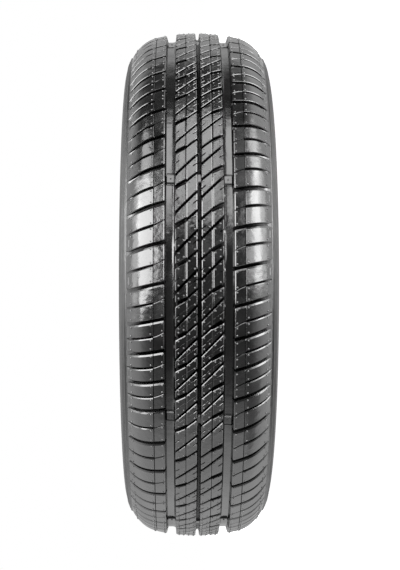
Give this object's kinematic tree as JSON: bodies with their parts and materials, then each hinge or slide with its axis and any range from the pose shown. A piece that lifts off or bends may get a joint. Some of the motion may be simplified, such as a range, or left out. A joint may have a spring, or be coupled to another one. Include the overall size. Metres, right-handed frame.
{
  "type": "car tyre",
  "caption": "Passenger-car tyre: a hollow rubber ring with a grooved and slotted tread, rounded sidewalls and beads that grip a wheel rim.",
  "frame": {"origin": "wheel centre: on the axle line, midway between the beads", "axes": "+Z along the axle line, up out of the upper sidewall; +X and +Y across the tyre"},
  "size_m": [0.5467, 0.547, 0.1512],
  "materials": {
    "tyre_rubber": "semi-gloss black rubber"
  },
  "bodies": {
    "root": {"tyre": "tyre_rubber"}
  },
  "joints": []
}
